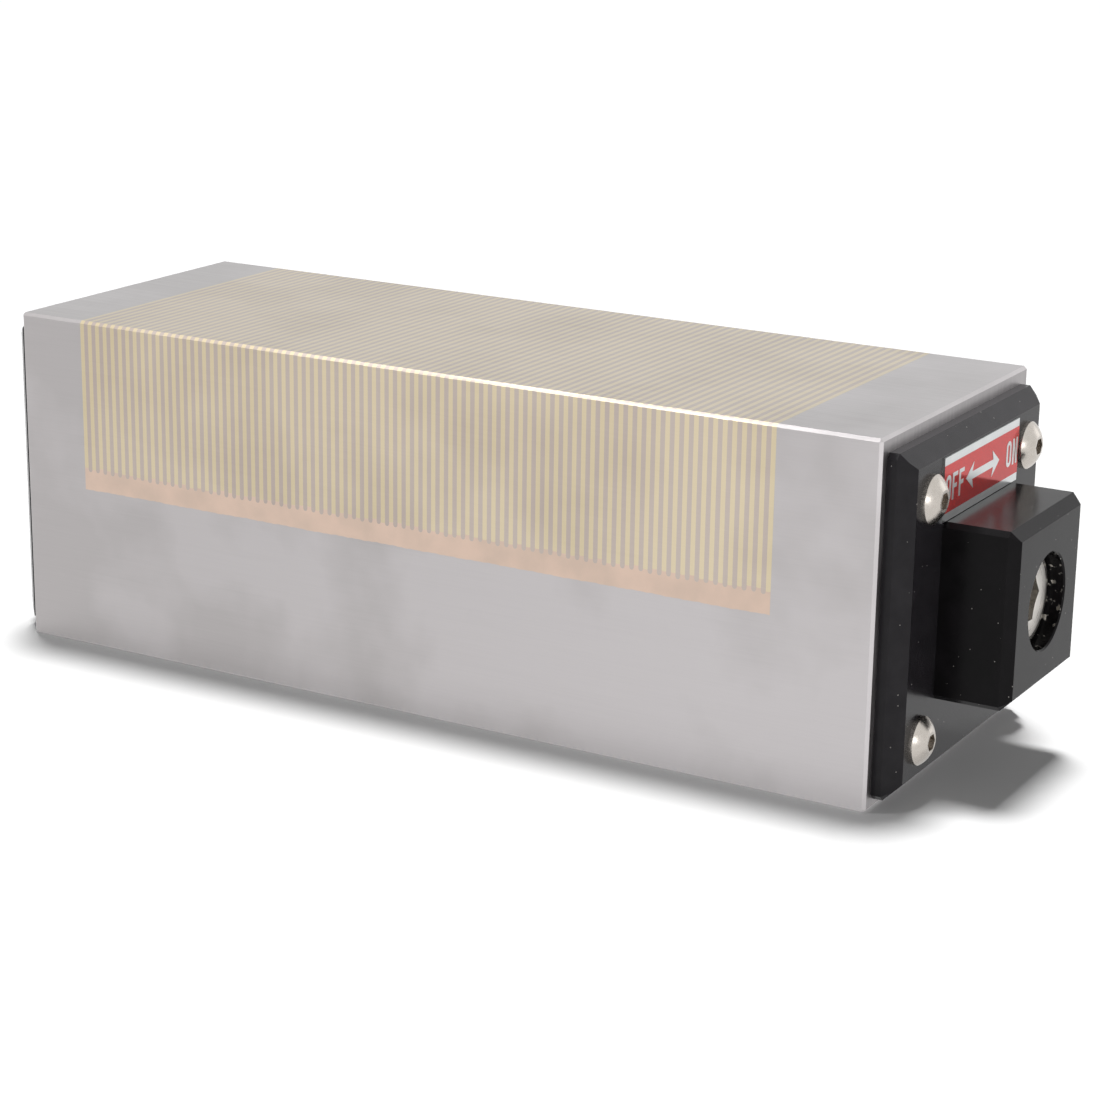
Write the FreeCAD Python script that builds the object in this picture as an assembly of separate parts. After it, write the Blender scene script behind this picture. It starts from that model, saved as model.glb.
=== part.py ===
"""Three-sided fine-pole permanent magnetic chuck, for grinding and wire erosion.

A ground steel body carries a laminated pack of steel poles and brass strips across its top, front
and back. A carriage of magnets slides under the poles. Half a turn of the hex-socket spindle in
the black drive block moves it between OFF and ON through a barrel cam.

Millimetres. X runs along the chuck, with the drive end at +X. -Y is the front working face.
+Z is up. The origin is the centre of the body's underside.
"""
import FreeCAD, Part
import math
import os

# ---- Body ------------------------------------------------------------------------------------
BODY_LENGTH = 200.0
BODY_WIDTH = 72.0
BODY_HEIGHT = 72.0
BODY_CHAMFER = 0.6
BLANK_MARGIN = 16.0          # solid steel between the blank end and the first brass strip
DRIVE_MARGIN = 21.0          # least solid steel between the last brass strip and the drive end

# ---- Laminated pole pack ---------------------------------------------------------------------
BRASS_THICKNESS = 1.0
STEEL_THICKNESS = 1.0
POLE_FOOT_HEIGHT = 39.2      # lower end of the poles on the front and back faces
BRAZE_HEIGHT = 3.8
PACK_WALL = 17.0
PACK_ROOF = 17.0

# ---- Cavity and slide ------------------------------------------------------------------------
SLIDE_STRIP_THICKNESS = 2.0
SLIDE_STRIP_WIDTH = 8.0
SLIDE_CLEARANCE = 0.2

# ---- End plates ------------------------------------------------------------------------------
PLATE_WIDTH = 67.0
PLATE_HEIGHT = 67.0
PLATE_THICKNESS = 5.0
PLATE_CHAMFER = 3.0
PLATE_CORNER = 1.0
AXIS_HEIGHT = 35.4           # height of the spindle, and the middle of both end plates

# ---- End plate screws, M5 button head --------------------------------------------------------
SCREW_PITCH_Y = 48.0
SCREW_PITCH_Z = 47.0
SCREW_DIAMETER = 5.0
SCREW_LENGTH = 16.0
SCREW_HEAD_DIAMETER = 9.5
SCREW_HEAD_HEIGHT = 2.75
SCREW_HEAD_RIM = 0.8
SCREW_HEX = 3.0
SCREW_HEX_DEPTH = 1.6
SCREW_HOLE_CLEARANCE = 0.25

# ---- Drive block and nameplate ---------------------------------------------------------------
BLOCK_WIDTH = 35.0
BLOCK_HEIGHT = 35.0
BLOCK_DEPTH = 15.0
BLOCK_FACE_CHAMFER = 2.0
BLOCK_EDGE_CHAMFER = 1.0
BLOCK_BORE = 19.0
BLOCK_BORE_CHAMFER = 0.3
BLOCK_SCREW_PITCH = 26.0
BLOCK_SCREW_DIAMETER = 4.0
BLOCK_SCREW_HEAD = 7.5
BLOCK_SCREW_REACH = 9.0      # into the block
LABEL_WIDTH = 37.6
LABEL_HEIGHT = 12.5
LABEL_THICKNESS = 0.4
LABEL_RISE = 0.1             # lower edge above the block's top

# ---- Spindle ---------------------------------------------------------------------------------
NOSE_DIAMETER = 18.2
NOSE_RECESS = 3.2            # nose face behind the block's face
NOSE_CHAMFER = 0.5
HEX_SOCKET = 10.0
HEX_SOCKET_DEPTH = 9.0
SOCKET_MOUTH_DIAMETER = 15.6
SOCKET_MOUTH_SLOPE = 15.0    # degrees from the nose's face
FLANGE_DIAMETER = 25.0
FLANGE_THICKNESS = 3.5
FLANGE_CLEARANCE = 0.3
JOURNAL_DIAMETER = 14.0
JOURNAL_CLEARANCE = 0.05
BUSH_WALL = 3.0
THRUST_WASHER_WALL = 2.0
THRUST_WASHER_THICKNESS = 1.0
END_FLOAT = 0.1
TAIL_DIAMETER = 10.0
TAIL_FLATS = 8.0
SEAL_SECTION = 1.6
SEAL_POSITION = 3.0          # behind the nose face
STOP_PIN_DIAMETER = 3.0
STOP_PIN_RADIUS = 11.0
STOP_PIN_DEPTH = 3.5         # into the end plate
STOP_CLEARANCE = 0.2

# ---- Barrel cam and magnet carriage ----------------------------------------------------------
THROW_ANGLE = 180.0
CARRIAGE_TRAVEL = 6.0
CAM_DIAMETER = 16.0
CAM_LENGTH = 22.0
CAM_GROOVE_DEPTH = 2.6
FOLLOWER_DIAMETER = 4.5
FOLLOWER_CLEARANCE = 0.15
FOLLOWER_SETBACK = 12.0      # follower's axis behind the carriage's drive end
CAM_SCREW_DIAMETER = 4.0
CAM_SCREW_HEAD = 7.6
CAM_SCREW_HEAD_HEIGHT = 2.2
CAM_SCREW_LENGTH = 10.0
YOKE_LENGTH = 28.0
YOKE_BORE_CLEARANCE = 0.25
YOKE_FLOOR_WALL = 2.15       # least wall under the yoke's bore
CARRIAGE_BASE_THICKNESS = 5.0
CARRIAGE_END_CLEARANCE = 0.5
MAGNET_THICKNESS = 7.0
MAGNET_SIDE_CLEARANCE = 0.8  # between a magnet and each tie rod
MAGNET_DROP = 2.5            # magnet tops below the pole shoes' tops
SHOE_THICKNESS = 5.0
TIE_ROD_DIAMETER = 4.0
TIE_ROD_HEIGHT = 15.0        # rod's axis above the carriage base
TIE_NUT_FLATS = 7.0
TIE_NUT_HEIGHT = 3.2
TIE_ROD_END = 1.3            # rod's end beyond its nut
YOKE_SCREW_DIAMETER = 4.0
YOKE_SCREW_HEAD = 7.5
YOKE_SCREW_REACH = 8.0
YOKE_SCREW_INSET = 6.0       # from the yoke's sides and ends

# ---- Fits ------------------------------------------------------------------------------------
SEAT_CLEARANCE = 0.02        # radial, between pieces of one body
CUT_MARGIN = 1.0             # overrun of a cutting tool past a face

# ---- Places that follow from the sizes -------------------------------------------------------
blank_end = -BODY_LENGTH / 2
drive_end = BODY_LENGTH / 2
front_face = -BODY_WIDTH / 2
pole_pitch = BRASS_THICKNESS + STEEL_THICKNESS
pack_room = BODY_LENGTH - BLANK_MARGIN - DRIVE_MARGIN
brass_count = int((pack_room + STEEL_THICKNESS) / pole_pitch)
pack_start = blank_end + BLANK_MARGIN
pack_end = pack_start + brass_count * pole_pitch - STEEL_THICKNESS
braze_bottom = POLE_FOOT_HEIGHT - BRAZE_HEIGHT
cavity_half_width = BODY_WIDTH / 2 - PACK_WALL
cavity_top = BODY_HEIGHT - PACK_ROOF

plate_face = drive_end + PLATE_THICKNESS
block_face = plate_face + BLOCK_DEPTH
block_top = AXIS_HEIGHT + BLOCK_HEIGHT / 2
nose_face = block_face - NOSE_RECESS
flange_back = plate_face + THRUST_WASHER_THICKNESS + END_FLOAT
flange_front = flange_back + FLANGE_THICKNESS
counterbore_end = flange_front + FLANGE_CLEARANCE
bush_radius = JOURNAL_DIAMETER / 2 + JOURNAL_CLEARANCE + BUSH_WALL

carriage_front = pack_end - CARRIAGE_TRAVEL - CARRIAGE_END_CLEARANCE
carriage_deck = AXIS_HEIGHT - CAM_DIAMETER / 2 - YOKE_BORE_CLEARANCE - YOKE_FLOOR_WALL
carriage_bottom = carriage_deck - CARRIAGE_BASE_THICKNESS
cavity_floor = carriage_bottom - SLIDE_STRIP_THICKNESS
carriage_top = cavity_top - SLIDE_CLEARANCE
shoe_half_width = cavity_half_width - SLIDE_CLEARANCE
yoke_back = carriage_front - YOKE_LENGTH
magnet_pitch = MAGNET_THICKNESS + SHOE_THICKNESS
magnet_count = int((yoke_back - SHOE_THICKNESS - pack_start) / magnet_pitch)
carriage_back = yoke_back - magnet_count * magnet_pitch - SHOE_THICKNESS
tie_rod_y = shoe_half_width - TIE_NUT_FLATS / math.sqrt(3)
tie_rod_z = carriage_deck + TIE_ROD_HEIGHT
magnet_half_width = tie_rod_y - TIE_ROD_DIAMETER / 2 - MAGNET_SIDE_CLEARANCE

cam_front = pack_end - FLANGE_CLEARANCE
cam_back = cam_front - CAM_LENGTH
follower_x = carriage_front - FOLLOWER_SETBACK
groove_floor = CAM_DIAMETER / 2 - CAM_GROOVE_DEPTH


# ---- Shapes used by several pieces -----------------------------------------------------------
def box(x_range, y_range, z_range):
    """Block between pairs of limits on each axis."""
    size = [limits[1] - limits[0] for limits in (x_range, y_range, z_range)]
    corner = FreeCAD.Vector(x_range[0], y_range[0], z_range[0])
    return Part.makeBox(size[0], size[1], size[2], corner)


def rod(radius, x_range, y=0.0, z=AXIS_HEIGHT):
    """Cylinder along X, on the spindle's axis unless placed elsewhere."""
    start = FreeCAD.Vector(x_range[0], y, z)
    return Part.makeCylinder(radius, x_range[1] - x_range[0], start, FreeCAD.Vector(1, 0, 0))


def ring(outer_radius, inner_radius, x_range):
    """Tube along the spindle's axis."""
    return rod(outer_radius, x_range).cut(rod(inner_radius, (x_range[0] - 1, x_range[1] + 1)))


def cone_head(head_radius, shank_radius, x_start, direction, y, z):
    """45 degree countersunk head whose flat lies at x_start."""
    height = head_radius - shank_radius
    start = FreeCAD.Vector(x_start, y, z)
    return Part.makeCone(head_radius, shank_radius, height, start, FreeCAD.Vector(direction, 0, 0))


def hexagon(across_flats, x_range, y=0.0, z=AXIS_HEIGHT):
    """Hexagonal prism along X with corners pointing to the front and back."""
    corner_radius = across_flats / math.sqrt(3)
    points = []
    for step in range(7):
        angle = math.radians(60 * step)
        points.append((x_range[0], y + corner_radius * math.cos(angle), z + corner_radius * math.sin(angle)))
    outline = Part.Face(Part.makePolygon([FreeCAD.Vector(*point) for point in points]))
    return outline.extrude(FreeCAD.Vector(x_range[1] - x_range[0], 0, 0))


def profile_prism(outline, x_range):
    """Extrude a closed outline of (y, z) points along X."""
    points = [FreeCAD.Vector(x_range[0], y, z) for y, z in outline + outline[:1]]
    return Part.Face(Part.makePolygon(points)).extrude(FreeCAD.Vector(x_range[1] - x_range[0], 0, 0))


def revolved(outline, y=0.0, z=AXIS_HEIGHT):
    """Revolve a closed outline of (x, radius) points about an axis along X."""
    points = [FreeCAD.Vector(x, y, z + radius) for x, radius in outline + outline[:1]]
    face = Part.Face(Part.makePolygon(points))
    return face.revolve(FreeCAD.Vector(0, y, z), FreeCAD.Vector(1, 0, 0), 360)


def faced_box(x_range, width, height, bevel):
    """Box centred on the spindle's axis, with a 45 degree bevel round its +X face."""
    z_range = (AXIS_HEIGHT - height / 2, AXIS_HEIGHT + height / 2)
    shape = box(x_range, (-width / 2, width / 2), z_range)
    rim = [edge for edge in shape.Edges if edge.BoundBox.XMin > x_range[1] - bevel / 2]
    return shape.makeChamfer(bevel, rim)


def bevelled_slab(x_range, width, height, corner, bevel):
    """Faced box with its four long corners nipped off. The bevel runs on round the corners."""
    over_corners = (width + height - 2 * corner) / math.sqrt(2)
    nipped = faced_box(x_range, over_corners, over_corners, bevel)
    nipped.rotate(FreeCAD.Vector(0, 0, AXIS_HEIGHT), FreeCAD.Vector(1, 0, 0), 45)
    return faced_box(x_range, width, height, bevel).common(nipped)


def screw_places():
    """Centres (y, z) of the four screws of either end plate."""
    places = []
    for side in (-1, 1):
        for level in (-1, 1):
            places.append((side * SCREW_PITCH_Y / 2, AXIS_HEIGHT + level * SCREW_PITCH_Z / 2))
    return places


def block_screw_places():
    """Centres (y, z) of the four screws that hold the drive block."""
    half = BLOCK_SCREW_PITCH / 2
    return [(y, AXIS_HEIGHT + z) for y in (-half, half) for z in (-half, half)]


def mirrored_x(shape):
    """The same shape at the other end of the chuck."""
    return shape.mirror(FreeCAD.Vector(0, 0, 0), FreeCAD.Vector(1, 0, 0))


# ---- Body ------------------------------------------------------------------------------------
def body():
    """Ground steel block, open on three sides for the poles and at the blank end for the carriage."""
    block = box((blank_end, drive_end), (front_face, -front_face), (0, BODY_HEIGHT))
    block = block.makeChamfer(BODY_CHAMFER, block.Edges)
    pole_bed = box((pack_start, pack_end), (front_face - CUT_MARGIN, -front_face + CUT_MARGIN),
                   (braze_bottom, BODY_HEIGHT + CUT_MARGIN))
    cavity = box((blank_end - CUT_MARGIN, pack_end), (-cavity_half_width, cavity_half_width),
                 (cavity_floor, cavity_top))
    bush_bore = rod(bush_radius + SEAT_CLEARANCE, (pack_end - CUT_MARGIN, drive_end + CUT_MARGIN))
    tools = [cavity, bush_bore]
    grip = SCREW_LENGTH - PLATE_THICKNESS + CUT_MARGIN
    for y, z in screw_places():
        hole = rod(SCREW_DIAMETER / 2 + SEAT_CLEARANCE, (drive_end - grip, drive_end + CUT_MARGIN), y, z)
        tools.append(hole)
        tools.append(mirrored_x(hole))
    return block.cut(pole_bed).cut(tools)


# ---- Pole pack -------------------------------------------------------------------------------
def pole_outline():
    """Section of the pack across the chuck: top and two legs, with the body's edge chamfer."""
    half = BODY_WIDTH / 2
    left = [(-half, POLE_FOOT_HEIGHT), (-half, BODY_HEIGHT - BODY_CHAMFER), (-half + BODY_CHAMFER, BODY_HEIGHT)]
    right = [(-y, z) for y, z in reversed(left)]
    inside = [(cavity_half_width, POLE_FOOT_HEIGHT), (cavity_half_width, cavity_top),
              (-cavity_half_width, cavity_top), (-cavity_half_width, POLE_FOOT_HEIGHT)]
    return left + right + inside


def strips(first_x, thickness, count):
    """A row of equal strips of the pole section, one pole pitch apart."""
    first = profile_prism(pole_outline(), (first_x, first_x + thickness))
    row = []
    for index in range(count):
        strip = first.copy()
        strip.translate(FreeCAD.Vector(index * pole_pitch, 0, 0))
        row.append(strip)
    return Part.makeCompound(row)


def brass_strips():
    return strips(pack_start, BRASS_THICKNESS, brass_count)


def steel_poles():
    return strips(pack_start + BRASS_THICKNESS, STEEL_THICKNESS, brass_count - 1)


def braze_bands():
    """Copper braze under the poles' feet, front and back."""
    bands = []
    for side in (-1, 1):
        limits = sorted((side * cavity_half_width, side * BODY_WIDTH / 2))
        bands.append(box((pack_start, pack_end), limits, (braze_bottom, POLE_FOOT_HEIGHT)))
    return Part.makeCompound(bands)


# ---- End plates ------------------------------------------------------------------------------
def plain_end_plate():
    """Plate at the drive end before its bores: outline with nipped corners and a bevelled face."""
    plate = bevelled_slab((drive_end, plate_face), PLATE_WIDTH, PLATE_HEIGHT, PLATE_CORNER, PLATE_CHAMFER)
    span = (drive_end - CUT_MARGIN, plate_face + CUT_MARGIN)
    holes = [rod(SCREW_DIAMETER / 2 + SCREW_HOLE_CLEARANCE, span, y, z) for y, z in screw_places()]
    return plate.cut(holes)


def drive_end_plate():
    """End plate with the spindle's bore, the stop pin's hole and countersunk holes for the block."""
    span = (drive_end - CUT_MARGIN, plate_face + CUT_MARGIN)
    tools = [rod(JOURNAL_DIAMETER / 2 + FLANGE_CLEARANCE, span)]
    pin_hole = rod(STOP_PIN_DIAMETER / 2 + SEAT_CLEARANCE, (plate_face - STOP_PIN_DEPTH, span[1]),
                   0, AXIS_HEIGHT - STOP_PIN_RADIUS)
    tools.append(pin_hole)
    shank = BLOCK_SCREW_DIAMETER / 2 + SEAT_CLEARANCE
    head = BLOCK_SCREW_HEAD / 2 + SEAT_CLEARANCE
    for y, z in block_screw_places():
        tools.append(rod(shank, span, y, z))
        tools.append(cone_head(head, shank, drive_end, 1, y, z))
    return plain_end_plate().cut(tools)


def blank_end_plate():
    return mirrored_x(plain_end_plate())


def button_screw(y, z):
    """Head with a short straight rim, a dome and a hex socket, on a plain shank, at the drive end."""
    head_radius = SCREW_HEAD_DIAMETER / 2
    crown = SCREW_HEX / math.sqrt(3) + SCREW_HEX_DEPTH / 4
    crest = plate_face + SCREW_HEAD_HEIGHT
    dome_height = SCREW_HEAD_HEIGHT - SCREW_HEAD_RIM
    centre = (dome_height ** 2 + crown ** 2 - head_radius ** 2) / (2 * dome_height)
    dome = Part.makeSphere(math.hypot(centre, head_radius),
                           FreeCAD.Vector(plate_face + SCREW_HEAD_RIM + centre, y, z))
    head = rod(head_radius, (plate_face, crest), y, z).common(dome)
    socket = hexagon(SCREW_HEX, (crest - SCREW_HEX_DEPTH, crest + CUT_MARGIN), y, z)
    shank = rod(SCREW_DIAMETER / 2, (plate_face - SCREW_LENGTH, plate_face), y, z)
    return head.fuse(shank).cut(socket).removeSplitter()


def drive_plate_screws():
    return Part.makeCompound([button_screw(y, z) for y, z in screw_places()])


def blank_plate_screws():
    return mirrored_x(drive_plate_screws())


# ---- Drive block -----------------------------------------------------------------------------
def drive_block():
    """Bevelled block over the spindle's flange, with the round hole that the key enters."""
    block = bevelled_slab((plate_face, block_face), BLOCK_WIDTH, BLOCK_HEIGHT, BLOCK_EDGE_CHAMFER,
                          BLOCK_FACE_CHAMFER)
    mouth = FreeCAD.Vector(block_face, 0, AXIS_HEIGHT)
    tools = [rod(BLOCK_BORE / 2, (plate_face, block_face + CUT_MARGIN))]
    tools.append(Part.makeCone(BLOCK_BORE / 2 + BLOCK_BORE_CHAMFER, BLOCK_BORE / 2, BLOCK_BORE_CHAMFER,
                               mouth, FreeCAD.Vector(-1, 0, 0)))
    tools.append(rod(FLANGE_DIAMETER / 2 + FLANGE_CLEARANCE, (plate_face - CUT_MARGIN, counterbore_end)))
    reach = (plate_face - CUT_MARGIN, plate_face + BLOCK_SCREW_REACH + SEAT_CLEARANCE)
    for y, z in block_screw_places():
        tools.append(rod(BLOCK_SCREW_DIAMETER / 2 + SEAT_CLEARANCE, reach, y, z))
    return block.cut(tools)


def block_screws():
    """Countersunk screws from the back of the end plate into the block."""
    screws = []
    shank = BLOCK_SCREW_DIAMETER / 2
    for y, z in block_screw_places():
        head = cone_head(BLOCK_SCREW_HEAD / 2, shank, drive_end, 1, y, z)
        screws.append(head.fuse(rod(shank, (drive_end, plate_face + BLOCK_SCREW_REACH), y, z)))
    return Part.makeCompound(screws)


def nameplate():
    """Thin plate above the block, between the heads of the upper screws."""
    base = block_top + LABEL_RISE
    return box((plate_face, plate_face + LABEL_THICKNESS), (-LABEL_WIDTH / 2, LABEL_WIDTH / 2),
               (base, base + LABEL_HEIGHT))


# ---- Spindle and its bearings ----------------------------------------------------------------
def tail_section(radius, half_flats, x_range):
    """Round bar along the axis with two flats, above and below."""
    flats = box(x_range, (-radius, radius), (AXIS_HEIGHT - half_flats, AXIS_HEIGHT + half_flats))
    return rod(radius, x_range).common(flats)


def drive_spindle():
    """Turned spindle: flatted tail, journal, stop flange and a hex-socket nose with a seal groove."""
    nose = NOSE_DIAMETER / 2
    flange = FLANGE_DIAMETER / 2
    journal = JOURNAL_DIAMETER / 2
    seal_x = nose_face - SEAL_POSITION
    groove = nose - SEAL_SECTION * 0.85
    half_groove = SEAL_SECTION * 0.6
    turned = revolved([(cam_front, 0), (cam_front, journal), (flange_back, journal), (flange_back, flange),
                       (flange_front, flange), (flange_front, nose), (seal_x - half_groove, nose),
                       (seal_x - half_groove, groove), (seal_x + half_groove, groove),
                       (seal_x + half_groove, nose), (nose_face - NOSE_CHAMFER, nose),
                       (nose_face, nose - NOSE_CHAMFER), (nose_face, 0)])
    tail = tail_section(TAIL_DIAMETER / 2, TAIL_FLATS / 2, (cam_back, cam_front))
    socket = hexagon(HEX_SOCKET, (nose_face - HEX_SOCKET_DEPTH, nose_face + CUT_MARGIN))
    mouth_depth = (SOCKET_MOUTH_DIAMETER - HEX_SOCKET) / 2 * math.tan(math.radians(SOCKET_MOUTH_SLOPE))
    mouth = Part.makeCone(SOCKET_MOUTH_DIAMETER / 2, HEX_SOCKET / 2, mouth_depth,
                          FreeCAD.Vector(nose_face, 0, AXIS_HEIGHT), FreeCAD.Vector(-1, 0, 0))
    screw_hole = rod(CAM_SCREW_DIAMETER / 2 + SEAT_CLEARANCE,
                     (cam_back - CUT_MARGIN, cam_back + CAM_SCREW_LENGTH + SEAT_CLEARANCE))
    return turned.fuse(tail).cut([stop_relief(), socket, mouth, screw_hole]).removeSplitter()


def stop_relief():
    """Cut in the flange's rim that lets it turn past the stop pin through the throw and no further."""
    inner = STOP_PIN_RADIUS - STOP_PIN_DIAMETER / 2 - STOP_CLEARANCE
    outer = FLANGE_DIAMETER / 2 + CUT_MARGIN
    margin = math.degrees(math.asin((STOP_PIN_DIAMETER / 2 + STOP_CLEARANCE) / STOP_PIN_RADIUS))
    back = flange_back - END_FLOAT
    front = flange_front + END_FLOAT
    corners = [(back, inner), (front, inner), (front, outer), (back, outer), (back, inner)]
    points = [FreeCAD.Vector(x, 0, AXIS_HEIGHT - radius) for x, radius in corners]
    section = Part.Face(Part.makePolygon(points))
    centre = FreeCAD.Vector(0, 0, AXIS_HEIGHT)
    along = FreeCAD.Vector(1, 0, 0)
    section.rotate(centre, along, -margin)
    return section.revolve(centre, along, THROW_ANGLE + 2 * margin)


def spindle_seal():
    """Rubber ring in the nose's groove, just clear of the block's bore."""
    section = SEAL_SECTION / 2
    centre_radius = BLOCK_BORE / 2 - JOURNAL_CLEARANCE - section
    centre = FreeCAD.Vector(nose_face - SEAL_POSITION, 0, AXIS_HEIGHT)
    return Part.makeTorus(centre_radius, section, centre, FreeCAD.Vector(1, 0, 0))


def spindle_bush():
    return ring(bush_radius, JOURNAL_DIAMETER / 2 + JOURNAL_CLEARANCE, (pack_end, drive_end))


def thrust_washer():
    inner = JOURNAL_DIAMETER / 2 + FLANGE_CLEARANCE
    return ring(inner + THRUST_WASHER_WALL, inner, (plate_face, plate_face + THRUST_WASHER_THICKNESS))


def stop_pin():
    """Dowel in the end plate that ends the spindle's half turn."""
    span = (plate_face - STOP_PIN_DEPTH, flange_front)
    return rod(STOP_PIN_DIAMETER / 2, span, 0, AXIS_HEIGHT - STOP_PIN_RADIUS)


# ---- Barrel cam ------------------------------------------------------------------------------
def cam_groove():
    """Helical slot that carries the follower through its travel in one throw, with round ends."""
    lead = CARRIAGE_TRAVEL * 360 / THROW_ANGLE
    root_slope = math.atan(lead / (2 * math.pi * groove_floor))
    half_width = (FOLLOWER_DIAMETER / 2) / math.cos(root_slope) + FOLLOWER_CLEARANCE
    outer = CAM_DIAMETER / 2 + CUT_MARGIN
    corners = [(groove_floor, -half_width), (outer, -half_width), (outer, half_width), (groove_floor, half_width)]
    section = Part.makePolygon([FreeCAD.Vector(radius, 0, along) for radius, along in corners + corners[:1]])
    path = Part.Wire(Part.makeHelix(lead, CARRIAGE_TRAVEL, CAM_DIAMETER / 2))
    groove = path.makePipeShell([section], True, True)
    ends = []
    for turn, rise in ((0, 0), (THROW_ANGLE, CARRIAGE_TRAVEL)):
        start = FreeCAD.Vector(groove_floor, 0, rise)
        end = Part.makeCylinder(half_width, outer - groove_floor, start, FreeCAD.Vector(1, 0, 0))
        end.rotate(FreeCAD.Vector(0, 0, 0), FreeCAD.Vector(0, 0, 1), turn)
        ends.append(end)
    groove = groove.fuse(ends)
    groove.rotate(FreeCAD.Vector(0, 0, 0), FreeCAD.Vector(0, 1, 0), 90)
    groove.rotate(FreeCAD.Vector(0, 0, 0), FreeCAD.Vector(1, 0, 0), 180)
    groove.translate(FreeCAD.Vector(follower_x, 0, AXIS_HEIGHT))
    return groove


def barrel_cam():
    """Drum on the spindle's flatted tail."""
    drum = rod(CAM_DIAMETER / 2, (cam_back, cam_front))
    bore = tail_section(TAIL_DIAMETER / 2 + SEAT_CLEARANCE, TAIL_FLATS / 2 + SEAT_CLEARANCE,
                        (cam_back - CUT_MARGIN, cam_front + CUT_MARGIN))
    return drum.cut([bore, cam_groove()])


def cam_screw():
    """Screw that holds the cam on the spindle's tail."""
    head = rod(CAM_SCREW_HEAD / 2, (cam_back - CAM_SCREW_HEAD_HEIGHT, cam_back))
    return head.fuse(rod(CAM_SCREW_DIAMETER / 2, (cam_back, cam_back + CAM_SCREW_LENGTH)))


# ---- Magnet carriage -------------------------------------------------------------------------
def slide_strips():
    """Bronze strips on the cavity's floor that the carriage slides on."""
    pieces = []
    for side in (-1, 1):
        limits = sorted((side * (cavity_half_width - SLIDE_STRIP_WIDTH), side * cavity_half_width))
        pieces.append(box((blank_end, pack_end), limits, (cavity_floor, carriage_bottom)))
    return Part.makeCompound(pieces)


def yoke_screw_places():
    """Centres (x, y) of the four screws under the yoke."""
    y = shoe_half_width - YOKE_SCREW_INSET
    ends = (yoke_back + YOKE_SCREW_INSET, carriage_front - YOKE_SCREW_INSET)
    return [(x, side) for x in ends for side in (-y, y)]


def yoke_screw_shapes(clearance):
    """Countersunk screws from the base up into the yoke, or the holes they leave."""
    shapes = []
    up = FreeCAD.Vector(0, 0, 1)
    shank = YOKE_SCREW_DIAMETER / 2 + clearance
    head = YOKE_SCREW_HEAD / 2 + clearance
    for x, y in yoke_screw_places():
        start = FreeCAD.Vector(x, y, carriage_bottom)
        cone = Part.makeCone(head, shank, head - shank, start, up)
        length = CARRIAGE_BASE_THICKNESS + YOKE_SCREW_REACH + clearance
        shapes.append(cone.fuse(Part.makeCylinder(shank, length, start, up)))
    return shapes


def carriage_base():
    plate = box((carriage_back, carriage_front), (-shoe_half_width, shoe_half_width),
                (carriage_bottom, carriage_deck))
    return plate.cut(yoke_screw_shapes(SEAT_CLEARANCE))


def yoke_screws():
    return Part.makeCompound(yoke_screw_shapes(0.0))


def tie_rod_holes(x_range):
    """Holes for both tie rods through what lies between two places along the carriage."""
    radius = TIE_ROD_DIAMETER / 2 + SEAT_CLEARANCE
    return [rod(radius, x_range, side * tie_rod_y, tie_rod_z) for side in (-1, 1)]


def pole_shoes():
    """Steel plates between the magnets, threaded on the tie rods."""
    row = []
    for index in range(magnet_count + 1):
        start = carriage_back + index * magnet_pitch
        shoe = box((start, start + SHOE_THICKNESS), (-shoe_half_width, shoe_half_width),
                   (carriage_deck, carriage_top))
        row.append(shoe.cut(tie_rod_holes((start - CUT_MARGIN, start + SHOE_THICKNESS + CUT_MARGIN))))
    return Part.makeCompound(row)


def magnets():
    row = []
    for index in range(magnet_count):
        start = carriage_back + index * magnet_pitch + SHOE_THICKNESS
        row.append(box((start, start + MAGNET_THICKNESS), (-magnet_half_width, magnet_half_width),
                       (carriage_deck, carriage_top - MAGNET_DROP)))
    return Part.makeCompound(row)


def tie_rods():
    start = carriage_back - TIE_NUT_HEIGHT - TIE_ROD_END
    span = (start, carriage_front)
    return Part.makeCompound([rod(TIE_ROD_DIAMETER / 2, span, side * tie_rod_y, tie_rod_z) for side in (-1, 1)])


def tie_nuts():
    span = (carriage_back - TIE_NUT_HEIGHT, carriage_back)
    holes = tie_rod_holes((span[0] - CUT_MARGIN, span[1] + CUT_MARGIN))
    nuts = [hexagon(TIE_NUT_FLATS, span, side * tie_rod_y, tie_rod_z) for side in (-1, 1)]
    return Part.makeCompound([nut.cut(holes) for nut in nuts])


def follower(radius, foot):
    """Upright pin shape from its foot over the cam to the top of the yoke."""
    start = FreeCAD.Vector(follower_x, 0, foot)
    return Part.makeCylinder(radius, carriage_top - foot, start, FreeCAD.Vector(0, 0, 1))


def follower_pin():
    return follower(FOLLOWER_DIAMETER / 2, AXIS_HEIGHT + groove_floor + FOLLOWER_CLEARANCE)


def carriage_yoke():
    """Bronze block that slides over the cam and holds the follower pin."""
    block = box((yoke_back, carriage_front), (-shoe_half_width, shoe_half_width), (carriage_deck, carriage_top))
    span = (yoke_back - CUT_MARGIN, carriage_front + CUT_MARGIN)
    tools = [rod(CAM_DIAMETER / 2 + YOKE_BORE_CLEARANCE, span)]
    tools.append(follower(FOLLOWER_DIAMETER / 2 + SEAT_CLEARANCE, AXIS_HEIGHT))
    return block.cut(tools + tie_rod_holes(span) + yoke_screw_shapes(SEAT_CLEARANCE))


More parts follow.
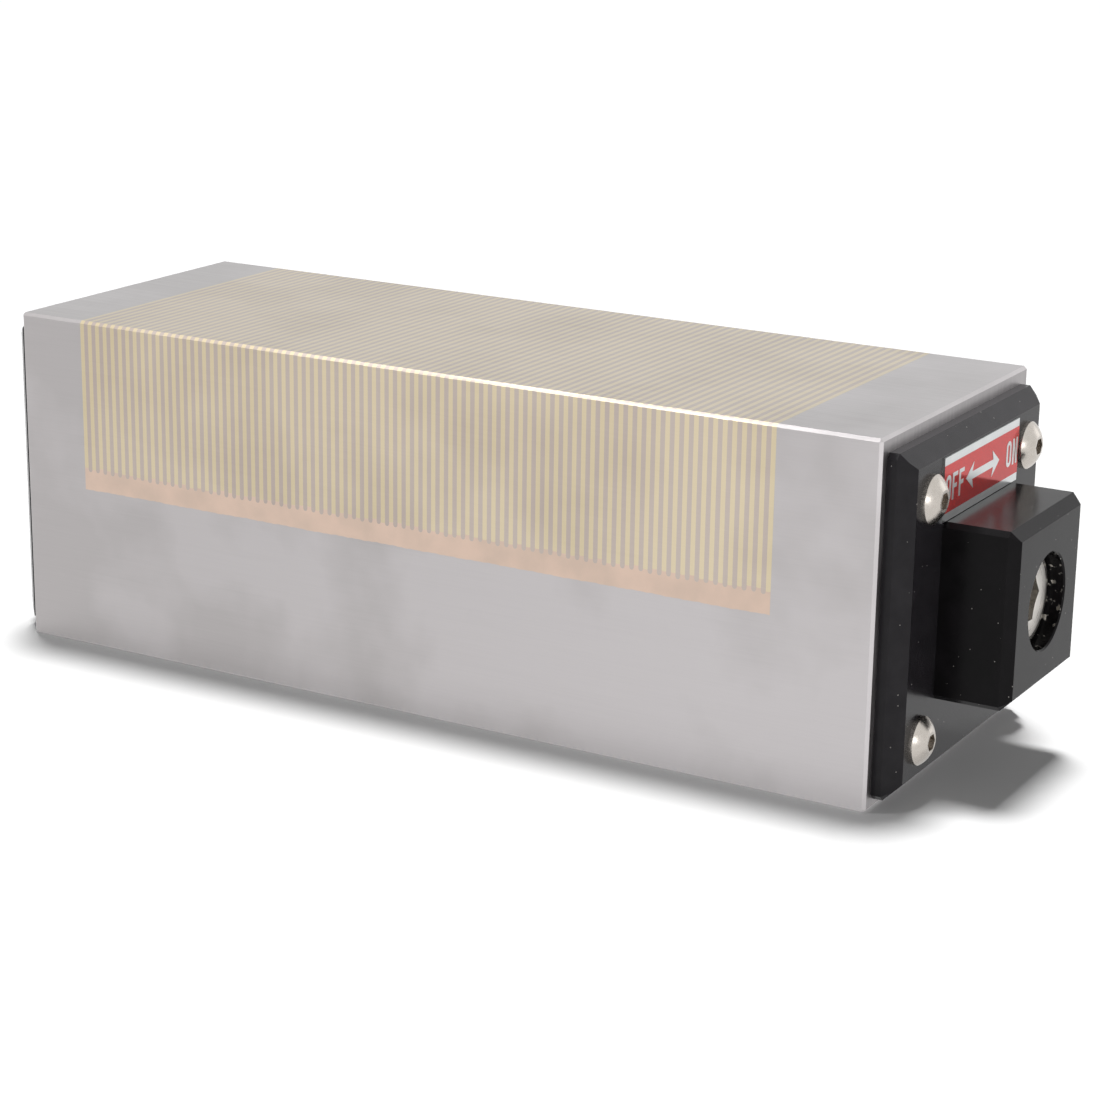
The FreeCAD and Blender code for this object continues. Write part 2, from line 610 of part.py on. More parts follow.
# ---- Output ----------------------------------------------------------------------------------
NODES = {
    "body": body,
    "pole_pack_steel_poles": steel_poles,
    "pole_pack_brass_strips": brass_strips,
    "pole_pack_braze_bands": braze_bands,
    "end_plate_drive": drive_end_plate,
    "end_plate_blank": blank_end_plate,
    "end_plate_drive_screws": drive_plate_screws,
    "end_plate_blank_screws": blank_plate_screws,
    "drive_block": drive_block,
    "drive_block_screws": block_screws,
    "nameplate": nameplate,
    "spindle_bush": spindle_bush,
    "spindle_thrust_washer": thrust_washer,
    "spindle_stop_pin": stop_pin,
    "drive_spindle": drive_spindle,
    "spindle_seal": spindle_seal,
    "barrel_cam": barrel_cam,
    "barrel_cam_screw": cam_screw,
    "carriage_slide_strips": slide_strips,
    "carriage_base": carriage_base,
    "carriage_pole_shoes": pole_shoes,
    "carriage_magnets": magnets,
    "carriage_tie_rods": tie_rods,
    "carriage_tie_nuts": tie_nuts,
    "carriage_yoke": carriage_yoke,
    "carriage_yoke_screws": yoke_screws,
    "carriage_follower_pin": follower_pin,
}

os.makedirs("parts", exist_ok=True)
for node, make in NODES.items():
    make().exportStep(f"parts/{node}.step")
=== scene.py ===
"""Finish of a three-sided fine-pole magnetic chuck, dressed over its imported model, in metres."""
import math
import bmesh
import bpy
import numpy as np
from mathutils import Matrix, Vector


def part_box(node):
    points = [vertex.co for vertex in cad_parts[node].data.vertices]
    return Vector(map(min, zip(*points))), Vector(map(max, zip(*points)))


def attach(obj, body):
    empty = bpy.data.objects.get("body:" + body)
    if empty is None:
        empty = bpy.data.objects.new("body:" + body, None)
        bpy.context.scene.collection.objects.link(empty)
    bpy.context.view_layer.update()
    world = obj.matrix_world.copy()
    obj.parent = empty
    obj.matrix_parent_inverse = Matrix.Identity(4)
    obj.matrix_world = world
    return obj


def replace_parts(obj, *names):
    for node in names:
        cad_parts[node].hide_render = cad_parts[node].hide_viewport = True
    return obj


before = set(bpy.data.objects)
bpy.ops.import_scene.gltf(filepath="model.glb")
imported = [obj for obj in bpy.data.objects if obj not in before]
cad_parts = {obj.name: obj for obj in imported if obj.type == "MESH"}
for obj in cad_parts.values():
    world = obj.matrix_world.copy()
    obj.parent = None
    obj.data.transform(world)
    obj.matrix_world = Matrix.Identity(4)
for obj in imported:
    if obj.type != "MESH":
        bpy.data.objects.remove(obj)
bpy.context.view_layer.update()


# ---- Camera ----------------------------------------------------------------------------------
# A long lens looks down on the front and the drive end from the right.
mm = 0.001
camera_azimuth = math.radians(30.08)
camera_elevation = math.radians(16.58)
camera_roll = math.radians(0.82)
camera_distance = 585.3 * mm
camera_aim = Vector((9.25, 2.29, 27.08)) * mm

backward = Vector((math.sin(camera_azimuth) * math.cos(camera_elevation),
                   -math.cos(camera_azimuth) * math.cos(camera_elevation), math.sin(camera_elevation)))
level_right = Vector((0, 0, 1)).cross(backward).normalized()
level_up = backward.cross(level_right)
right = level_right * math.cos(camera_roll) + level_up * math.sin(camera_roll)
up = backward.cross(right)
lens = bpy.data.cameras.new("camera")
lens.lens = 90.8
lens.sensor_width = 36.0
camera = bpy.data.objects.new("camera", lens)
turn = Matrix((right, up, backward)).transposed().to_4x4()
camera.matrix_world = Matrix.Translation(camera_aim + backward * camera_distance) @ turn
bpy.context.collection.objects.link(camera)
bpy.context.scene.camera = camera
bpy.context.scene.view_settings.view_transform = "Standard"


# ---- Studio ----------------------------------------------------------------------------------
# White paper under a broad high lamp, which keeps the shadow close round the foot of the chuck.
# Three soft boxes draw the edges, the screws and the spindle out of the black.
def linear(hex_colour):
    """Linear RGBA of an sRGB hex colour: the sRGB curve undone for each channel."""
    channels = np.array([int(hex_colour[i:i + 2], 16) for i in (1, 3, 5)]) / 255
    curve = np.where(channels <= 0.04045, channels / 12.92, ((channels + 0.055) / 1.055) ** 2.4)
    return (*curve.tolist(), 1.0)


def add(tree, kind, inputs=None, **settings):
    """Add one shader node. Each input is a value, a socket, or a node whose first output feeds it."""
    new = tree.nodes.new("ShaderNode" + kind)
    for name, value in settings.items():
        setattr(new, name, value)
    for name, value in (inputs or {}).items():
        if isinstance(value, bpy.types.Node):
            value = value.outputs[0]
        if isinstance(value, bpy.types.NodeSocket):
            tree.links.new(value, new.inputs[name])
        else:
            new.inputs[name].default_value = value
    return new


world = bpy.data.worlds.new("surround")
world.use_nodes = True
bpy.context.scene.world = world
tree = world.node_tree
tree.nodes.clear()
rays = add(tree, "LightPath")
seen = add(tree, "Math", {0: rays.outputs["Is Camera Ray"], 1: rays.outputs["Is Glossy Ray"]},
           operation="MAXIMUM")
seen = add(tree, "Math", {0: seen, 1: rays.outputs["Is Transmission Ray"]}, operation="MAXIMUM")
scattered = add(tree, "Math", {0: rays.outputs["Diffuse Depth"], 1: 0.5}, operation="GREATER_THAN")
seen = add(tree, "Math", {0: seen, 1: scattered}, operation="SUBTRACT", use_clamp=True)
ambient = add(tree, "Background", {"Color": linear("#ffffff"), "Strength": 0.09})
backdrop = add(tree, "Background", {"Color": linear("#ffffff"), "Strength": 1.0})
add(tree, "OutputWorld", {"Surface": add(tree, "MixShader", {0: seen, 1: ambient, 2: backdrop})})


def add_lamp(name, kind, towards, place=(0, 0, 0), **settings):
    """Lamp at a place, whose light travels from there towards a point."""
    lamp = bpy.data.lights.new(name, kind)
    for setting, value in settings.items():
        setattr(lamp, setting, value)
    holder = bpy.data.objects.new(name, lamp)
    aim = (Vector(towards) - Vector(place)).to_track_quat("-Z", "Y").to_matrix().to_4x4()
    holder.matrix_world = Matrix.Translation(place) @ aim
    bpy.context.collection.objects.link(holder)
    return holder


high_lamp = add_lamp("high_lamp", "SUN", (0.075, -0.15, -0.98), energy=3.05, angle=math.radians(12))
high_lamp.visible_glossy = False
add_lamp("overhead_box", "AREA", (0.11, -0.02, 0.05), (-0.384, -0.314, 0.905), size=0.12, energy=1.1)
add_lamp("front_box", "AREA", (0.11, 0.0, 0.04), (0.80, -0.52, 0.13), shape="RECTANGLE", size=0.5,
         size_y=0.22, energy=1.2)
add_lamp("back_box", "AREA", (0.11, 0.0, 0.04), (0.61, 0.83, 0.25), size=0.45, energy=0.4)

paper = bpy.data.materials.new("white_paper_sweep")
paper.use_nodes = True
tree = paper.node_tree
tree.nodes.clear()
rays = add(tree, "LightPath")
seen = add(tree, "Math", {0: rays.outputs["Is Camera Ray"], 1: rays.outputs["Is Glossy Ray"]},
           operation="MAXIMUM")
seen = add(tree, "Math", {0: seen, 1: rays.outputs["Is Transmission Ray"]}, operation="MAXIMUM")
paper_glow = 0.06
lift = add(tree, "Math", {0: seen, 1: paper_glow}, operation="MULTIPLY")
matte = add(tree, "BsdfDiffuse", {"Color": linear("#f6f6f6")})
glow = add(tree, "Emission", {"Color": linear("#ffffff"), "Strength": lift})
shaded = add(tree, "AddShader", {0: matte, 1: glow})
# mirrored in metal, the paper is mostly plain white, so its shadow is weak there
plain_share = 0.65
mirrored = add(tree, "Math", {0: rays.outputs["Is Glossy Ray"], 1: plain_share}, operation="MULTIPLY")
plain = add(tree, "Emission", {"Color": linear("#ffffff"), "Strength": 1.0})
add(tree, "OutputMaterial", {"Surface": add(tree, "MixShader", {0: mirrored, 1: shaded, 2: plain})})
reach = 4.0
floor_mesh = bpy.data.meshes.new("floor")
floor_mesh.from_pydata([(-reach, -reach, 0), (reach, -reach, 0), (reach, reach, 0), (-reach, reach, 0)],
                       [], [(0, 1, 2, 3)])
floor_mesh.materials.append(paper)
floor = bpy.data.objects.new("floor", floor_mesh)
bpy.context.collection.objects.link(floor)


# ---- Body ------------------------------------------------------------------------------------
# Block of hardened tool steel, surface ground along its length on four sides and milled across
# its ends: satin grey, with faint lines and a slight clouding.
def new_material(name):
    """Empty node material."""
    material = bpy.data.materials.new(name)
    material.use_nodes = True
    material.node_tree.nodes.clear()
    return material, material.node_tree


def ground_metal(name, dull, bright, end_tone, roughness):
    """Oiled ground metal: clouded over 35 mm, with painted light that brightens it towards the drive end.
    Grinding lines follow X on the long sides; the ends have coarser milling marks that follow Z, in their own
    tone.
    The face on top is darkened by painted shade."""
    material, tree = new_material(name)
    place = add(tree, "TexCoord")
    across = add(tree, "SeparateXYZ", {0: place.outputs["Normal"]})
    on_end = add(tree, "Math", {0: add(tree, "Math", {0: across}, operation="ABSOLUTE"), 1: 0.95},
                 operation="GREATER_THAN")
    cloud = add(tree, "TexNoise", {"Vector": place.outputs["Object"], "Scale": 1 / (35 * mm), "Detail": 4.0})
    # painted light: the tone is made brighter towards the drive end, along X
    along = add(tree, "MapRange", {"Value": add(tree, "SeparateXYZ", {0: place.outputs["Object"]}),
                                   "From Min": -100 * mm, "From Max": 100 * mm,
                                   "To Min": -0.6, "To Max": 0.1})
    cloudy = add(tree, "MapRange", {"Value": cloud, "From Min": 0.30, "From Max": 0.55})
    shade = add(tree, "Math", {0: cloudy, 1: along}, operation="ADD")
    tone = add(tree, "MixRGB", {"Fac": shade, "Color1": linear(dull), "Color2": linear(bright)})
    # real lines are near 0.05 mm apart; drawn at 0.35 mm so that they show
    side_lines = add(tree, "Mapping", {"Vector": place.outputs["Object"],
                                       "Scale": (1 / (30 * mm), 1 / (0.35 * mm), 1 / (0.35 * mm))})
    end_lines = add(tree, "Mapping", {"Vector": place.outputs["Object"],
                                      "Scale": (1 / (0.8 * mm), 1 / (0.8 * mm), 1 / (12 * mm))})
    lines = add(tree, "TexNoise", {"Vector": add(tree, "MixRGB", {"Fac": on_end, "Color1": side_lines,
                                                                  "Color2": end_lines}),
                                   "Scale": 1.0, "Detail": 3.0})
    streak = add(tree, "MapRange", {"Value": lines, "From Min": 0.3, "From Max": 0.7,
                                    "To Min": 0.86, "To Max": 1.1})
    end_streaks = add(tree, "MixRGB", {"Fac": 1.0, "Color1": linear(end_tone), "Color2": streak},
                      blend_type="MULTIPLY")
    # painted shade: faces turned up are darkened by the multiply below
    on_top = add(tree, "MapRange", {"Value": across.outputs["Z"], "From Min": 0.9, "From Max": 0.99})
    painted_top_shade = add(tree, "MixRGB", {"Fac": on_top, "Color1": tone, "Color2": linear("#e8e8e8")},
               blend_type="MULTIPLY")
    colour = add(tree, "MixRGB", {"Fac": on_end, "Color1": painted_top_shade, "Color2": end_streaks})
    gloss = add(tree, "MapRange", {"Value": lines, "From Min": 0.3, "From Max": 0.7,
                                   "To Min": roughness - 0.05, "To Max": roughness + 0.05})
    relief = add(tree, "Bump", {"Height": lines, "Distance": 0.003 * mm})
    # the coat is a thin film of oil
    shader = add(tree, "BsdfPrincipled", {"Base Color": colour, "Metallic": 1.0, "Roughness": gloss,
                                          "Normal": relief, "Coat Weight": 0.4, "Coat Roughness": 0.25,
                                          "Coat IOR": 1.45})
    add(tree, "OutputMaterial", {"Surface": shader})
    return material


def dress(material, *names):
    """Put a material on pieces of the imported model."""
    for name in names:
        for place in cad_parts[name].material_slots:
            place.material = material


dress(ground_metal("surface_ground_tool_steel", "#b3afaf", "#c4c0c1", "#9c9899", 0.42), "body")


# ---- Pole pack -------------------------------------------------------------------------------
# Inverted-U steel laminations with brass between them, brazed in as one pack and ground flush.
# Each steel pole ends in a rounded foot; the brass stops just above, and braze fills up to it.
def add_piece(name, points, faces, material, body):
    """Mesh piece of points (n x 3, metres) and faces, turned to face outwards, riding on a body."""
    mesh = bpy.data.meshes.new(name)
    mesh.from_pydata(np.asarray(points).reshape(-1, 3).tolist(), [], [list(face) for face in faces])
    shell = bmesh.new()
    shell.from_mesh(mesh)
    bmesh.ops.recalc_face_normals(shell, faces=shell.faces)
    shell.to_mesh(mesh)
    shell.free()
    mesh.materials.append(material)
    piece = bpy.data.objects.new(name, mesh)
    bpy.context.collection.objects.link(piece)
    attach(piece, body)
    return piece


def grid_faces(rows, columns, closed=False):
    """Quads of a grid whose columns close on themselves, and whose rows do too where closed."""
    row, column = np.meshgrid(np.arange(rows if closed else rows - 1), np.arange(columns), indexing="ij")
    next_row, next_column = (row + 1) % rows, (column + 1) % columns
    return np.stack([row * columns + column, row * columns + next_column,
                     next_row * columns + next_column, next_row * columns + column], axis=-1).reshape(-1, 4)


def end_caps(rows, columns):
    """Faces over the first and last rows of a grid."""
    last = (rows - 1) * columns
    return [list(range(columns)), list(range(last, last + columns))]


pack_low, pack_high = (np.array(corner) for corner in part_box("pole_pack_brass_strips"))
pole_low = np.array(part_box("pole_pack_steel_poles")[0])
body_high = np.array(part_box("body")[1])
cavity_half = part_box("carriage_slide_strips")[1][1]
cavity_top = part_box("carriage_yoke")[1][2] + 0.2 * mm
strip_thickness = pole_low[0] - pack_low[0]
brass_count = round((pack_high[0] - pack_low[0] + strip_thickness) / (2 * strip_thickness))
edge_chamfer = 0.6 * mm
flush = 0.01 * mm


def u_strips(first_x, feet, roundness):
    """Stack of inverted-U outlines, one for each foot height, twice their thickness apart. Across a
    strip its foot rises by roundness times a half circle's drop, so that the foot is rounded."""
    slices = 9
    across = np.linspace(-1, 1, slices)
    rise = strip_thickness / 2 * (1 - np.sqrt(1 - across ** 2)) * roundness
    half = body_high[1] + flush
    top = body_high[2] + flush
    side = np.array([half, half, half - edge_chamfer, -half + edge_chamfer, -half, -half,
                     -cavity_half, -cavity_half, cavity_half, cavity_half])
    height = np.array([0, top - edge_chamfer, top, top, top - edge_chamfer, 0, 0, cavity_top, cavity_top, 0])
    count, outline = len(feet), len(side)
    grid = np.empty((count, slices, outline, 3))
    first = first_x + 2 * strip_thickness * np.arange(count)
    grid[..., 0] = (first[:, None] + (across + 1) / 2 * strip_thickness)[..., None]
    grid[..., 1] = side
    foot = feet[:, None, None] + rise[None, :, None]
    grid[..., 2] = np.where(height == 0, foot, height)
    faces = grid_faces(slices, outline).tolist() + end_caps(slices, outline)
    all_faces = [[corner + strip * slices * outline for corner in face]
                 for strip in range(count) for face in faces]
    return grid, all_faces


scatter = np.random.default_rng(7)
pole_steel = ground_metal("ground_pole_steel", "#b6a9a2", "#c3b7af", "#b6a9a2", 0.42)
pole_brass = ground_metal("ground_brass", "#cdbfa0", "#d9cbae", "#cdbfa0", 0.40)
points, faces = u_strips(pole_low[0], pole_low[2] + scatter.normal(0, 0.08 * mm, brass_count - 1), 1.0)
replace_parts(add_piece("steel_poles", points, faces, pole_steel, "housing"),
            "pole_pack_steel_poles")
points, faces = u_strips(pack_low[0], pole_low[2] + scatter.uniform(0.45, 1.1, brass_count) * mm, 0.3)
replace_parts(add_piece("brass_strips", points, faces, pole_brass, "housing"),
            "pole_pack_brass_strips")

# Ground copper braze: pinkish, mottled, with a few pores.
copper_braze, tree = new_material("ground_copper_braze")
place = add(tree, "TexCoord")
mottle = add(tree, "TexNoise", {"Vector": place.outputs["Object"], "Scale": 1 / (7 * mm), "Detail": 4.0})
mottled = add(tree, "MapRange", {"Value": mottle, "From Min": 0.35, "From Max": 0.65})
tone = add(tree, "MixRGB", {"Fac": mottled, "Color1": linear("#ceb9aa"), "Color2": linear("#d9c1b1")})
pores = add(tree, "TexNoise", {"Vector": place.outputs["Object"], "Scale": 1 / (0.5 * mm), "Detail": 2.0})
relief = add(tree, "Bump", {"Height": pores, "Distance": 0.006 * mm})
shader = add(tree, "BsdfPrincipled", {"Base Color": tone, "Metallic": 1.0, "Roughness": 0.44,
                                      "Normal": relief})
add(tree, "OutputMaterial", {"Surface": shader})

band_low, band_high = (np.array(corner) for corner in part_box("pole_pack_braze_bands"))


def braze_band(side):
    """Slab behind the poles' feet. Its lower edge wanders down over the steel by a sum of sines."""
    columns = 400
    x = np.linspace(band_low[0], band_high[0], columns)
    waves = ((0.21, 0.4), (0.53, 2.0), (1.37, 5.1), (3.1, 1.2))
    wander = sum(np.sin(x / mm * rate + shift) for rate, shift in waves)
    low = band_low[2] - (0.10 + 0.035 * (wander + 2)) * mm
    high = np.full(columns, band_high[2] + 1.4 * mm)
    outer = side * (body_high[1] + flush / 2)
    inner = side * (body_high[1] - 2 * mm)
    grid = np.empty((columns, 4, 3))
    grid[..., 0] = x[:, None]
    grid[..., 1] = [outer, outer, inner, inner]
    grid[..., 2] = np.stack([low, high, high, low], axis=1)
    return grid


bands = np.stack([braze_band(-1), braze_band(1)])
band_faces = grid_faces(bands.shape[1], 4).tolist() + end_caps(bands.shape[1], 4)
both_faces = band_faces + [[corner + 4 * bands.shape[1] for corner in face] for face in band_faces]
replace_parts(add_piece("braze_bands", bands, both_faces, copper_braze, "housing"),
            "pole_pack_braze_bands")


# ---- End plates and drive block --------------------------------------------------------------
# Aluminium, milled, bevelled and black anodised: near black with a smooth half gloss, a few pale
# specks on it, and rubbed through to bare metal where the key turns in the block's bore.
spindle_axis = sum(np.array(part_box("drive_spindle")))[2] / 2
bore_radius = 9.5 * mm


def anodised(name, dark, light, ior, rubbed_radius):
    """Black anodised aluminium, clouded over 5 mm, with pale specks. It is rubbed bare in spots inside
    a radius round the spindle's axis, which is the bore's wall; a radius of 0 leaves it whole."""
    material, tree = new_material(name)
    place = add(tree, "TexCoord")
    depth = add(tree, "TexNoise", {"Vector": place.outputs["Object"], "Scale": 1 / (5 * mm), "Detail": 4.0})
    cloudy = add(tree, "MapRange", {"Value": depth, "From Min": 0.35, "From Max": 0.65})
    black = add(tree, "MixRGB", {"Fac": cloudy, "Color1": linear(dark), "Color2": linear(light)})
    speck_spacing, speck_share = 2.2 * mm, 0.055
    speck = add(tree, "TexVoronoi", {"Vector": place.outputs["Object"], "Scale": 1 / speck_spacing})
    dusty = add(tree, "Math", {0: speck.outputs["Distance"], 1: speck_share}, operation="LESS_THAN")
    specked = add(tree, "MixRGB", {"Fac": dusty, "Color1": black, "Color2": linear("#8d8a86")})
    from_axis = add(tree, "Mapping", {"Vector": place.outputs["Object"], "Location": (0, 0, -spindle_axis),
                                      "Scale": (0, 1, 1)})
    radius = add(tree, "VectorMath", {0: from_axis}, operation="LENGTH")
    on_wall = add(tree, "Math", {0: radius.outputs["Value"], 1: rubbed_radius}, operation="LESS_THAN")
    rub = add(tree, "TexNoise", {"Vector": place.outputs["Object"], "Scale": 1 / (1.6 * mm), "Detail": 3.0,
                                 "Roughness": 0.6})
    rubbed = add(tree, "MapRange", {"Value": rub, "From Min": 0.60, "From Max": 0.66})
    bare = add(tree, "Math", {0: rubbed, 1: on_wall}, operation="MULTIPLY")
    colour = add(tree, "MixRGB", {"Fac": bare, "Color1": specked, "Color2": linear("#b9b6b0")})
    gloss = add(tree, "MapRange", {"Value": depth, "From Min": 0.3, "From Max": 0.7,
                                   "To Min": 0.19, "To Max": 0.25})
    grain = add(tree, "TexNoise", {"Vector": place.outputs["Object"], "Scale": 1 / (0.15 * mm),
                                   "Detail": 2.0})
    relief = add(tree, "Bump", {"Height": grain, "Distance": 0.0015 * mm})
    shader = add(tree, "BsdfPrincipled", {"Base Color": colour, "Metallic": bare, "Roughness": gloss,
                                          "IOR": ior, "Normal": relief})
    add(tree, "OutputMaterial", {"Surface": shader})
    return material


dress(anodised("black_anodised_plate", "#211f22", "#282629", 1.25, 0.0),
      "end_plate_drive", "end_plate_blank")
dress(anodised("black_anodised_block", "#121112", "#171517", 1.18, bore_radius * 1.01),
      "drive_block")


# ---- End plate screws ------------------------------------------------------------------------
# M5 button heads of stainless steel, cold formed and tumbled: bright, with fine dents and scuffs.
stainless, tree = new_material("tumbled_stainless_steel")
place = add(tree, "TexCoord")
scuffs = add(tree, "TexNoise", {"Vector": place.outputs["Object"], "Scale": 1 / (0.7 * mm), "Detail": 4.0})
gloss = add(tree, "MapRange", {"Value": scuffs, "From Min": 0.3, "From Max": 0.7,
                               "To Min": 0.20, "To Max": 0.34})
tone = add(tree, "MixRGB", {"Fac": scuffs, "Color1": linear("#bab3ab"), "Color2": linear("#cdc7c0")})
relief = add(tree, "Bump", {"Height": scuffs, "Distance": 0.01 * mm})
shader = add(tree, "BsdfPrincipled", {"Base Color": tone, "Metallic": 1.0, "Roughness": gloss,
                                      "Normal": relief})
add(tree, "OutputMaterial", {"Surface": shader})
dress(stainless, "end_plate_drive_screws", "end_plate_blank_screws")


# ---- Nameplate -------------------------------------------------------------------------------
# Thin aluminium plate, stuck on over the drive block. Red lacquer leaves bare a strip along the top
# and the bottom, the words OFF and ON, and an arrow between them.
label_low, label_high = (np.array(corner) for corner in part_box("nameplate"))
label_middle = (label_low + label_high) / 2
strip_height = 1.6 * mm
metal_face = label_high[0] - 0.08 * mm
lacquer_face = label_high[0] - 0.04 * mm


def slab(outline, back, front):
    """Flat outline (n x 2, along Y and Z) carried along X from back to front."""
    outline = np.asarray(outline, float)
    grid = np.empty((2, len(outline), 3))
    grid[..., 0] = [[back], [front]]
    grid[..., 1:] = outline
    return grid.reshape(-1, 3), grid_faces(2, len(outline)).tolist() + end_caps(2, len(outline))


def rectangle(low, high):
    """Corners of a rectangle in Y and Z."""
    return [(low[0], low[1]), (high[0], low[1]), (high[0], high[1]), (low[0], high[1])]


bare_aluminium, tree = new_material("bare_aluminium_sheet")
place = add(tree, "TexCoord")
wave = add(tree, "TexNoise", {"Vector": place.outputs["Object"], "Scale": 1 / (4 * mm), "Detail": 3.0})
tone = add(tree, "MixRGB", {"Fac": wave, "Color1": linear("#c6c9c9"), "Color2": linear("#d8dada")})
relief = add(tree, "Bump", {"Height": wave, "Distance": 0.05 * mm})
shader = add(tree, "BsdfPrincipled", {"Base Color": tone, "Metallic": 1.0, "Roughness": 0.28,
                                      "Normal": relief})
add(tree, "OutputMaterial", {"Surface": shader})

# Clear red lacquer over the metal: deep red by itself, bright red where it mirrors something white.
red_lacquer, tree = new_material("red_lacquer_on_aluminium")
place = add(tree, "TexCoord")
wave = add(tree, "TexNoise", {"Vector": place.outputs["Object"], "Scale": 1 / (6 * mm), "Detail": 2.0})
tone = add(tree, "MixRGB", {"Fac": wave, "Color1": linear("#cb1815"), "Color2": linear("#d61c19")})
relief = add(tree, "Bump", {"Height": wave, "Distance": 0.03 * mm})
shader = add(tree, "BsdfPrincipled", {"Base Color": tone, "Metallic": 0.5, "Roughness": 0.12, "IOR": 1.33,
                                      "Normal": relief})
add(tree, "OutputMaterial", {"Surface": shader})

points, faces = slab(rectangle(label_low[1:], label_high[1:]), label_low[0], metal_face)
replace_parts(add_piece("nameplate_sheet", points, faces, bare_aluminium, "housing"), "nameplate")
points, faces = slab(rectangle(label_low[1:] + [0, strip_height], label_high[1:] - [0, strip_height]),
                     metal_face, lacquer_face)
add_piece("nameplate_lacquer", points, faces, red_lacquer, "housing")

letter_height = 5.2 * mm
letter_width = 2.5 * mm
letter_step = 3.2 * mm
stroke = 0.8 * mm
arrow_length = 16.8 * mm
arrow_width = 5.3 * mm
arrow_shaft = 1.5 * mm
arrow_shift = 0.3 * mm
left_margin = 0.8 * mm
right_margin = 0.6 * mm


def letter_o():
    """Square section carried round a rounded rectangle: straight sides joined by half circles."""
    angle = np.linspace(0, 2 * np.pi, 32, endpoint=False) + np.pi / 32
    half_width, half_height = letter_width / 2, letter_height / 2
    turned = np.stack([np.cos(angle), np.sin(angle)], axis=-1)
    lift = np.where(turned[:, 1] > 0, 1, -1) * (half_height - half_width)
    outer = turned * half_width + np.stack([np.zeros_like(lift), lift], axis=-1)
    inner = turned * (half_width - stroke) + np.stack([np.zeros_like(lift), lift], axis=-1)
    grid = np.empty((len(angle), 4, 3))
    grid[..., 0] = [metal_face, label_high[0], label_high[0], metal_face]
    grid[..., 1:] = np.stack([outer, outer, inner, inner], axis=1) + (half_width, half_height)
    return grid.reshape(-1, 3), grid_faces(len(angle), 4, closed=True).tolist()


width, height = letter_width, letter_height
bar = 0.5 * height
letter_f = slab([(0, 0), (stroke, 0), (stroke, bar - stroke / 2), (0.85 * width, bar - stroke / 2),
                 (0.85 * width, bar + stroke / 2), (stroke, bar + stroke / 2), (stroke, height - stroke),
                 (width, height - stroke), (width, height), (0, height)], metal_face, label_high[0])
letter_n = slab([(0, 0), (stroke, 0), (stroke, 0.62 * height), (width - stroke, 0), (width, 0),
                 (width, height), (width - stroke, height), (width - stroke, 0.38 * height), (stroke, height),
                 (0, height)], metal_face, label_high[0])
tip, barb, shaft = arrow_length / 2, arrow_width / 2, arrow_shaft / 2
right_half = np.array([(tip - 3.1 * mm, -shaft), (tip - 3.8 * mm, -barb), (tip, 0), (tip - 3.8 * mm, barb),
                       (tip - 3.1 * mm, shaft)])
arrow = slab(np.concatenate([right_half, right_half * (-1, -1)]), metal_face, label_high[0])
marks_low = label_middle[2] - height / 2
marks = [(letter_o(), label_low[1] + left_margin, marks_low),
         (letter_f, label_low[1] + left_margin + letter_step, marks_low),
         (letter_f, label_low[1] + left_margin + 2 * letter_step, marks_low),
         (arrow, label_middle[1] + arrow_shift, label_middle[2]),
         (letter_o(), label_high[1] - right_margin - letter_step - width, marks_low),
         (letter_n, label_high[1] - right_margin - width, marks_low)]
points, faces = [], []
for (shape_points, shape_faces), y, z in marks:
    start = len(points)
    points += (shape_points + (0, y, z)).tolist()
    faces += [[corner + start for corner in face] for face in shape_faces]
add_piece("nameplate_marks", points, faces, bare_aluminium, "housing")


# ---- Spindle ---------------------------------------------------------------------------------
# Turned steel with a broached hex socket: bright, with fine rings on its face.
turned_steel, tree = new_material("turned_steel")
place = add(tree, "TexCoord")
from_axis = add(tree, "Mapping", {"Vector": place.outputs["Object"], "Location": (0, 0, -spindle_axis),
                                  "Scale": (0, 1, 1)})
radius = add(tree, "VectorMath", {0: from_axis}, operation="LENGTH")
# tool marks near 0.1 mm apart, drawn at 0.3 mm
step = add(tree, "Math", {0: radius.outputs["Value"], 1: 1 / (0.3 * mm)}, operation="MULTIPLY")
rings = add(tree, "TexNoise", {"W": step, "Scale": 1.0, "Detail": 2.0}, noise_dimensions="1D")
gloss = add(tree, "MapRange", {"Value": rings, "From Min": 0.3, "From Max": 0.7,
                               "To Min": 0.26, "To Max": 0.38})
relief = add(tree, "Bump", {"Height": rings, "Distance": 0.01 * mm})
shader = add(tree, "BsdfPrincipled", {"Base Color": linear("#dcd8d2"), "Metallic": 1.0, "Roughness": gloss,
                                      "Normal": relief})
add(tree, "OutputMaterial", {"Surface": shader})
dress(turned_steel, "drive_spindle")


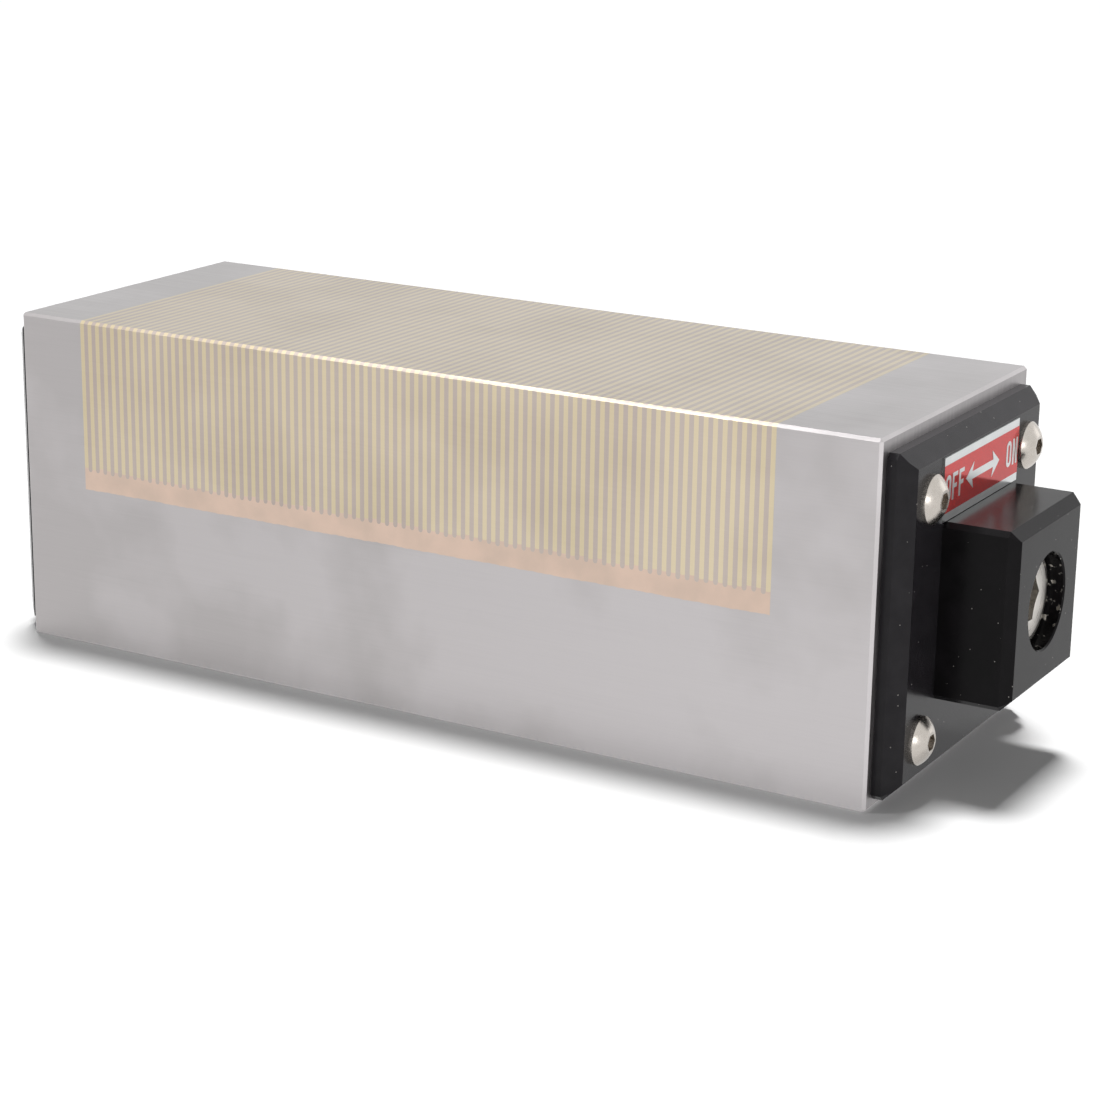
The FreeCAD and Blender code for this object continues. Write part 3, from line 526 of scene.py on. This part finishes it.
# ---- Pieces inside ---------------------------------------------------------------------------
# Bronze bush, washer, slide strips and yoke; hardened cam, pins; milled carriage; grey magnets;
# zinc-plated screws, rods and nuts; a rubber ring. All are shut in behind the plates.
def inner_finish(name, low, high, metallic, roughness, spacing):
    """Plain machined finish: tone and gloss wander from low to high over the given spacing."""
    material, tree = new_material(name)
    place = add(tree, "TexCoord")
    wander = add(tree, "TexNoise", {"Vector": place.outputs["Object"], "Scale": 1 / spacing, "Detail": 3.0})
    even = add(tree, "MapRange", {"Value": wander, "From Min": 0.35, "From Max": 0.65})
    tone = add(tree, "MixRGB", {"Fac": even, "Color1": linear(low), "Color2": linear(high)})
    gloss = add(tree, "MapRange", {"Value": wander, "From Min": 0.3, "From Max": 0.7,
                                   "To Min": roughness - 0.05, "To Max": roughness + 0.05})
    relief = add(tree, "Bump", {"Height": wander, "Distance": 0.005 * mm})
    shader = add(tree, "BsdfPrincipled", {"Base Color": tone, "Metallic": metallic, "Roughness": gloss,
                                          "Normal": relief})
    add(tree, "OutputMaterial", {"Surface": shader})
    return material


dress(inner_finish("machined_bronze", "#b08a55", "#bd9862", 1.0, 0.30, 3 * mm),
      "spindle_bush", "spindle_thrust_washer", "carriage_slide_strips", "carriage_yoke")
dress(inner_finish("hardened_steel", "#8a8a8c", "#969698", 1.0, 0.25, 4 * mm),
      "barrel_cam", "spindle_stop_pin", "carriage_follower_pin")
dress(inner_finish("milled_steel", "#a2a1a2", "#adacac", 1.0, 0.38, 5 * mm),
      "carriage_base", "carriage_pole_shoes")
dress(inner_finish("sintered_magnet", "#4c4b4d", "#5a595b", 0.6, 0.55, 1.5 * mm), "carriage_magnets")
dress(inner_finish("zinc_plated_steel", "#b9bcc0", "#c8cacd", 1.0, 0.30, 2 * mm), "drive_block_screws",
      "barrel_cam_screw", "carriage_tie_rods", "carriage_tie_nuts", "carriage_yoke_screws")
dress(inner_finish("nitrile_rubber", "#171717", "#1e1e1e", 0.0, 0.55, 1 * mm), "spindle_seal")
